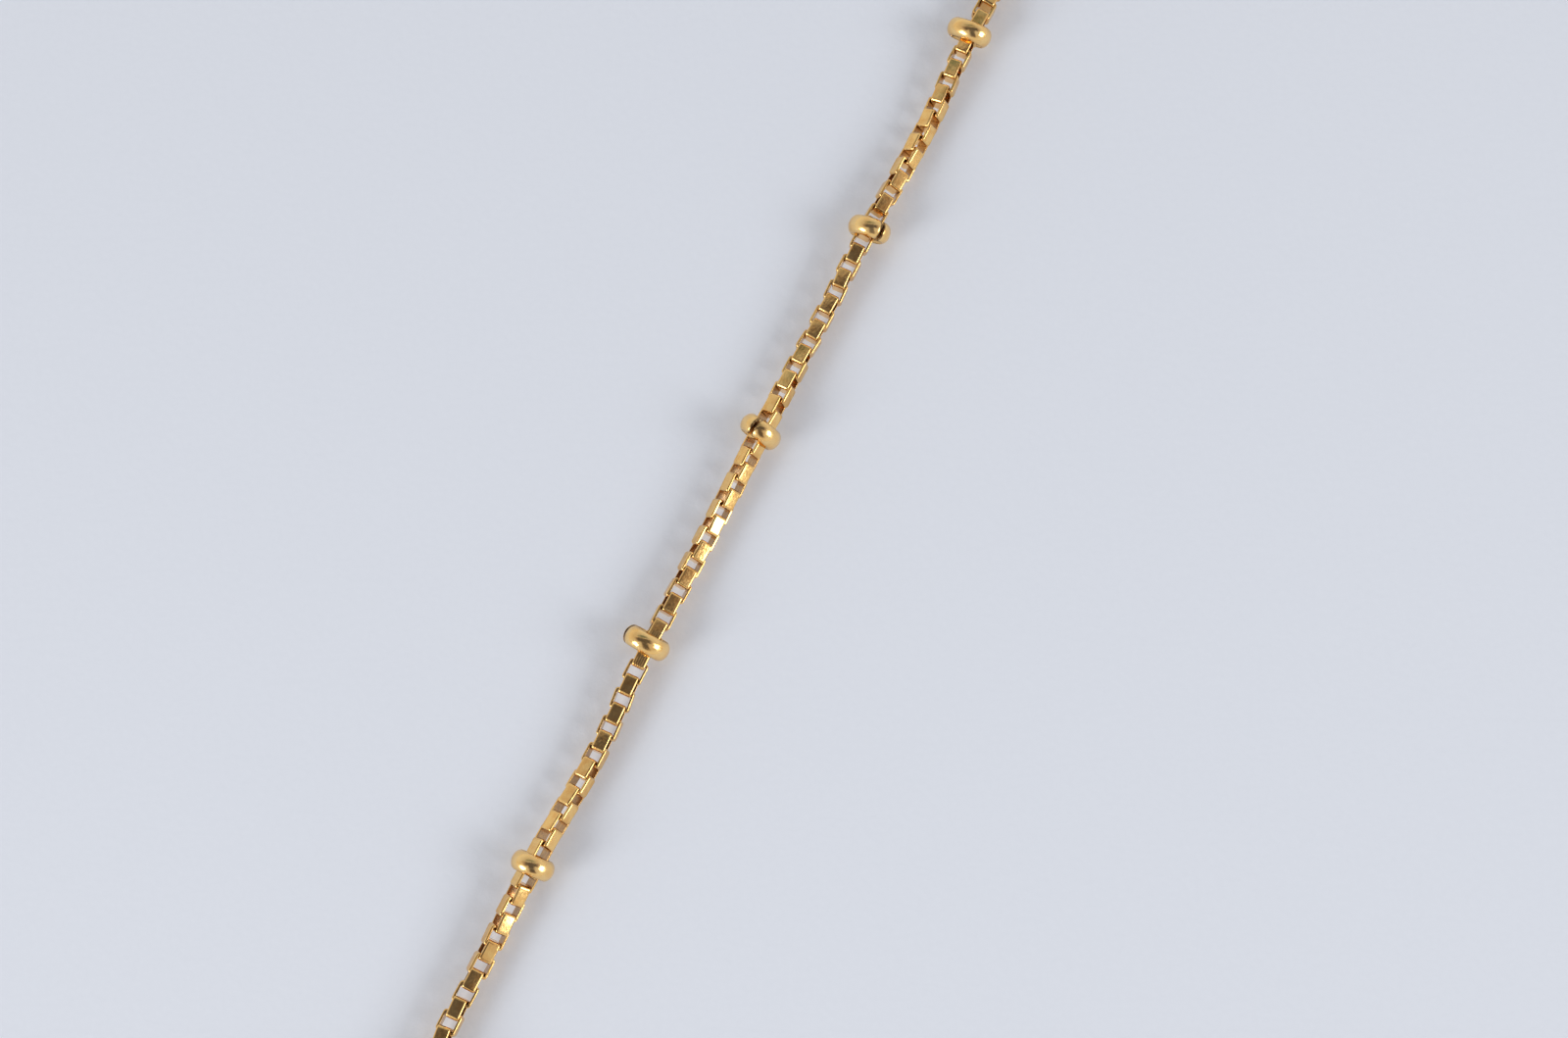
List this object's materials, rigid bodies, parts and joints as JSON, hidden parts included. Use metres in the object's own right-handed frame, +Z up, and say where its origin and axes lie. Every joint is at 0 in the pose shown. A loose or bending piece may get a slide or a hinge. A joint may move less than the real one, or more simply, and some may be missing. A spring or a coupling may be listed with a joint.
{
  "type": "beaded box chain necklace",
  "caption": "Fine gold box chain necklace laid as a closed loop, with small ring beads at even steps and a spring ring clasp.",
  "frame": {"origin": "on the surface it lies on, under the middle of the loop", "axes": "+Z up; the loop's round front lies towards -Y and its clasp towards +Y; +X is the loop's right seen from above"},
  "size_m": [0.1298, 0.1707, 0.0026],
  "materials": {
    "chain_gold": "polished yellow gold strip, mirror-like on the flats with softly worn edges",
    "bead_gold": "polished yellow gold wire, with fine scratches and a slightly matte seam",
    "clasp_gold": "polished yellow gold"
  },
  "bodies": {
    "root": {"chain_left": "chain_gold", "chain_right": "chain_gold", "bead_front": "bead_gold", "bead_left_01": "bead_gold", "bead_left_02": "bead_gold", "bead_left_03": "bead_gold", "bead_left_04": "bead_gold", "bead_left_05": "bead_gold", "bead_left_06": "bead_gold", "bead_left_07": "bead_gold", "bead_left_08": "bead_gold", "bead_left_09": "bead_gold", "bead_left_10": "bead_gold", "bead_left_11": "bead_gold", "bead_left_12": "bead_gold", "bead_left_13": "bead_gold", "bead_left_14": "bead_gold", "bead_left_15": "bead_gold", "bead_left_16": "bead_gold", "bead_left_17": "bead_gold", "bead_right_01": "bead_gold", "bead_right_02": "bead_gold", "bead_right_03": "bead_gold", "bead_right_04": "bead_gold", "bead_right_05": "bead_gold", "bead_right_06": "bead_gold", "bead_right_07": "bead_gold", "bead_right_08": "bead_gold", "bead_right_09": "bead_gold", "bead_right_10": "bead_gold", "bead_right_11": "bead_gold", "bead_right_12": "bead_gold", "bead_right_13": "bead_gold", "bead_right_14": "bead_gold", "bead_right_15": "bead_gold", "bead_right_16": "bead_gold", "bead_right_17": "bead_gold", "clasp": "clasp_gold", "end_ring_left": "clasp_gold", "end_ring_right": "clasp_gold"}
  },
  "joints": []
}
